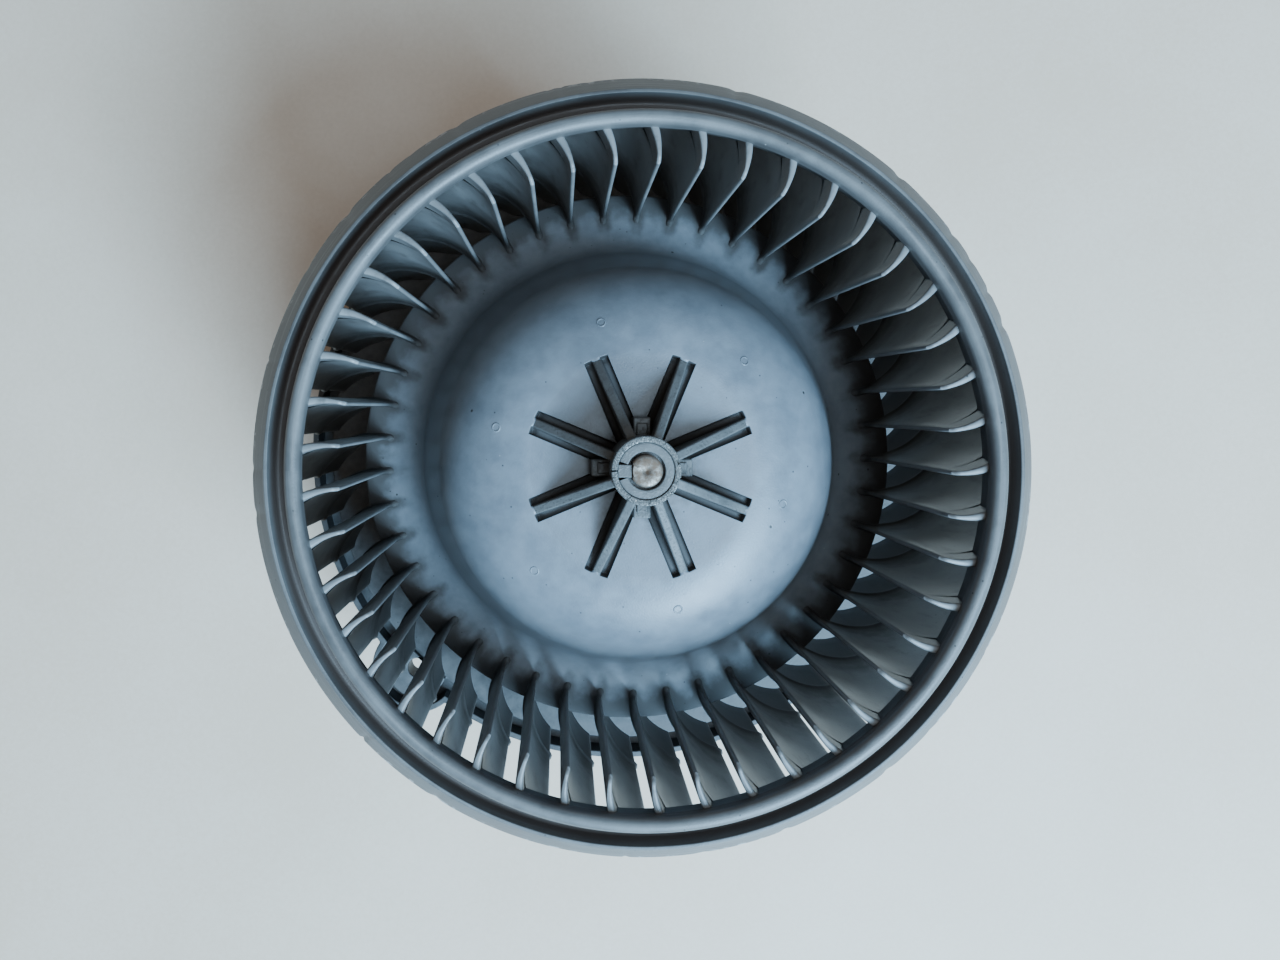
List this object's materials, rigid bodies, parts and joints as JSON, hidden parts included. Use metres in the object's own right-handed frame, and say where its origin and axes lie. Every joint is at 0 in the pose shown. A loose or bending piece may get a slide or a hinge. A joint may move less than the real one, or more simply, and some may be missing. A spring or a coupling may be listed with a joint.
{
  "type": "centrifugal heater blower",
  "caption": "Heater blower: forward-curved squirrel-cage wheel pressed on the shaft of a flanged direct-current motor, with screw ears and a plug socket.",
  "frame": {"origin": "on the fan axis, at the flange's rim face, the centre of the circle of screw holes", "axes": "+Z along the fan axis towards the inlet; -X towards the plug socket"},
  "size_m": [0.1707, 0.1692, 0.1281],
  "materials": {
    "wheel_plastic": "satin moulded, light dust",
    "flange_plastic": "satin moulded black",
    "spring_steel": "dull",
    "shaft_steel": "light rust",
    "core_steel": "lacquered laminations",
    "insulator_plastic": "natural nylon",
    "copper_wire": "enamelled",
    "phenolic": "moulded",
    "copper": "turned",
    "zinc_steel": "zinc plated",
    "ferrite": "ground",
    "bronze": "sintered, oiled",
    "brass": "pressed",
    "carbon": "pressed carbon",
    "capacitor_coat": "dipped",
    "wire_cover": "insulation",
    "tin_plate": "tinned",
    "pad_rubber": "moulded"
  },
  "bodies": {
    "motor_base": {"motor_flange": "flange_plastic", "motor_can": "zinc_steel", "field_magnets": "ferrite", "magnet_springs": "spring_steel", "upper_bushing": "bronze", "lower_bushing": "bronze", "upper_bush_clip": "spring_steel", "lower_bush_clip": "spring_steel", "end_shield": "zinc_steel", "thrust_button": "insulator_plastic", "brush_card": "phenolic", "brush_boxes": "brass", "brush_spring_front": "spring_steel", "brush_spring_back": "spring_steel", "choke_cores": "ferrite", "choke_coils": "copper_wire", "suppressor_capacitor": "capacitor_coat", "lead_wires": "wire_cover", "terminals": "tin_plate", "rubber_pads": "pad_rubber", "motor_cover": "flange_plastic", "cover_screws": "zinc_steel"},
    "rotor": {"fan_wheel": "wheel_plastic", "hub_clamp": "spring_steel", "motor_shaft": "shaft_steel", "armature_core": "core_steel", "end_insulators": "insulator_plastic", "armature_windings": "copper_wire", "commutator_hub": "phenolic", "commutator_bars": "copper", "thrust_washers": "insulator_plastic"},
    "front_brush": {"brush_front": "carbon"},
    "back_brush": {"brush_back": "carbon"}
  },
  "joints": [
    {"name": "fan_spin", "type": "hinge", "parent": "motor_base", "child": "rotor", "pos_m": [0, 0, 0], "axis": [0, 0, 1], "continuous": true},
    {"name": "front_brush_slide", "type": "slide", "parent": "motor_base", "child": "front_brush", "axis": [0, -1, 0], "range_m": [0, 0.003], "stiffness_N_per_m": 60, "springref_m": -0.01, "deforming": ["brush_spring_front"]},
    {"name": "back_brush_slide", "type": "slide", "parent": "motor_base", "child": "back_brush", "axis": [0, 1, 0], "range_m": [0, 0.003], "stiffness_N_per_m": 60, "springref_m": -0.01, "deforming": ["brush_spring_back"]}
  ]
}
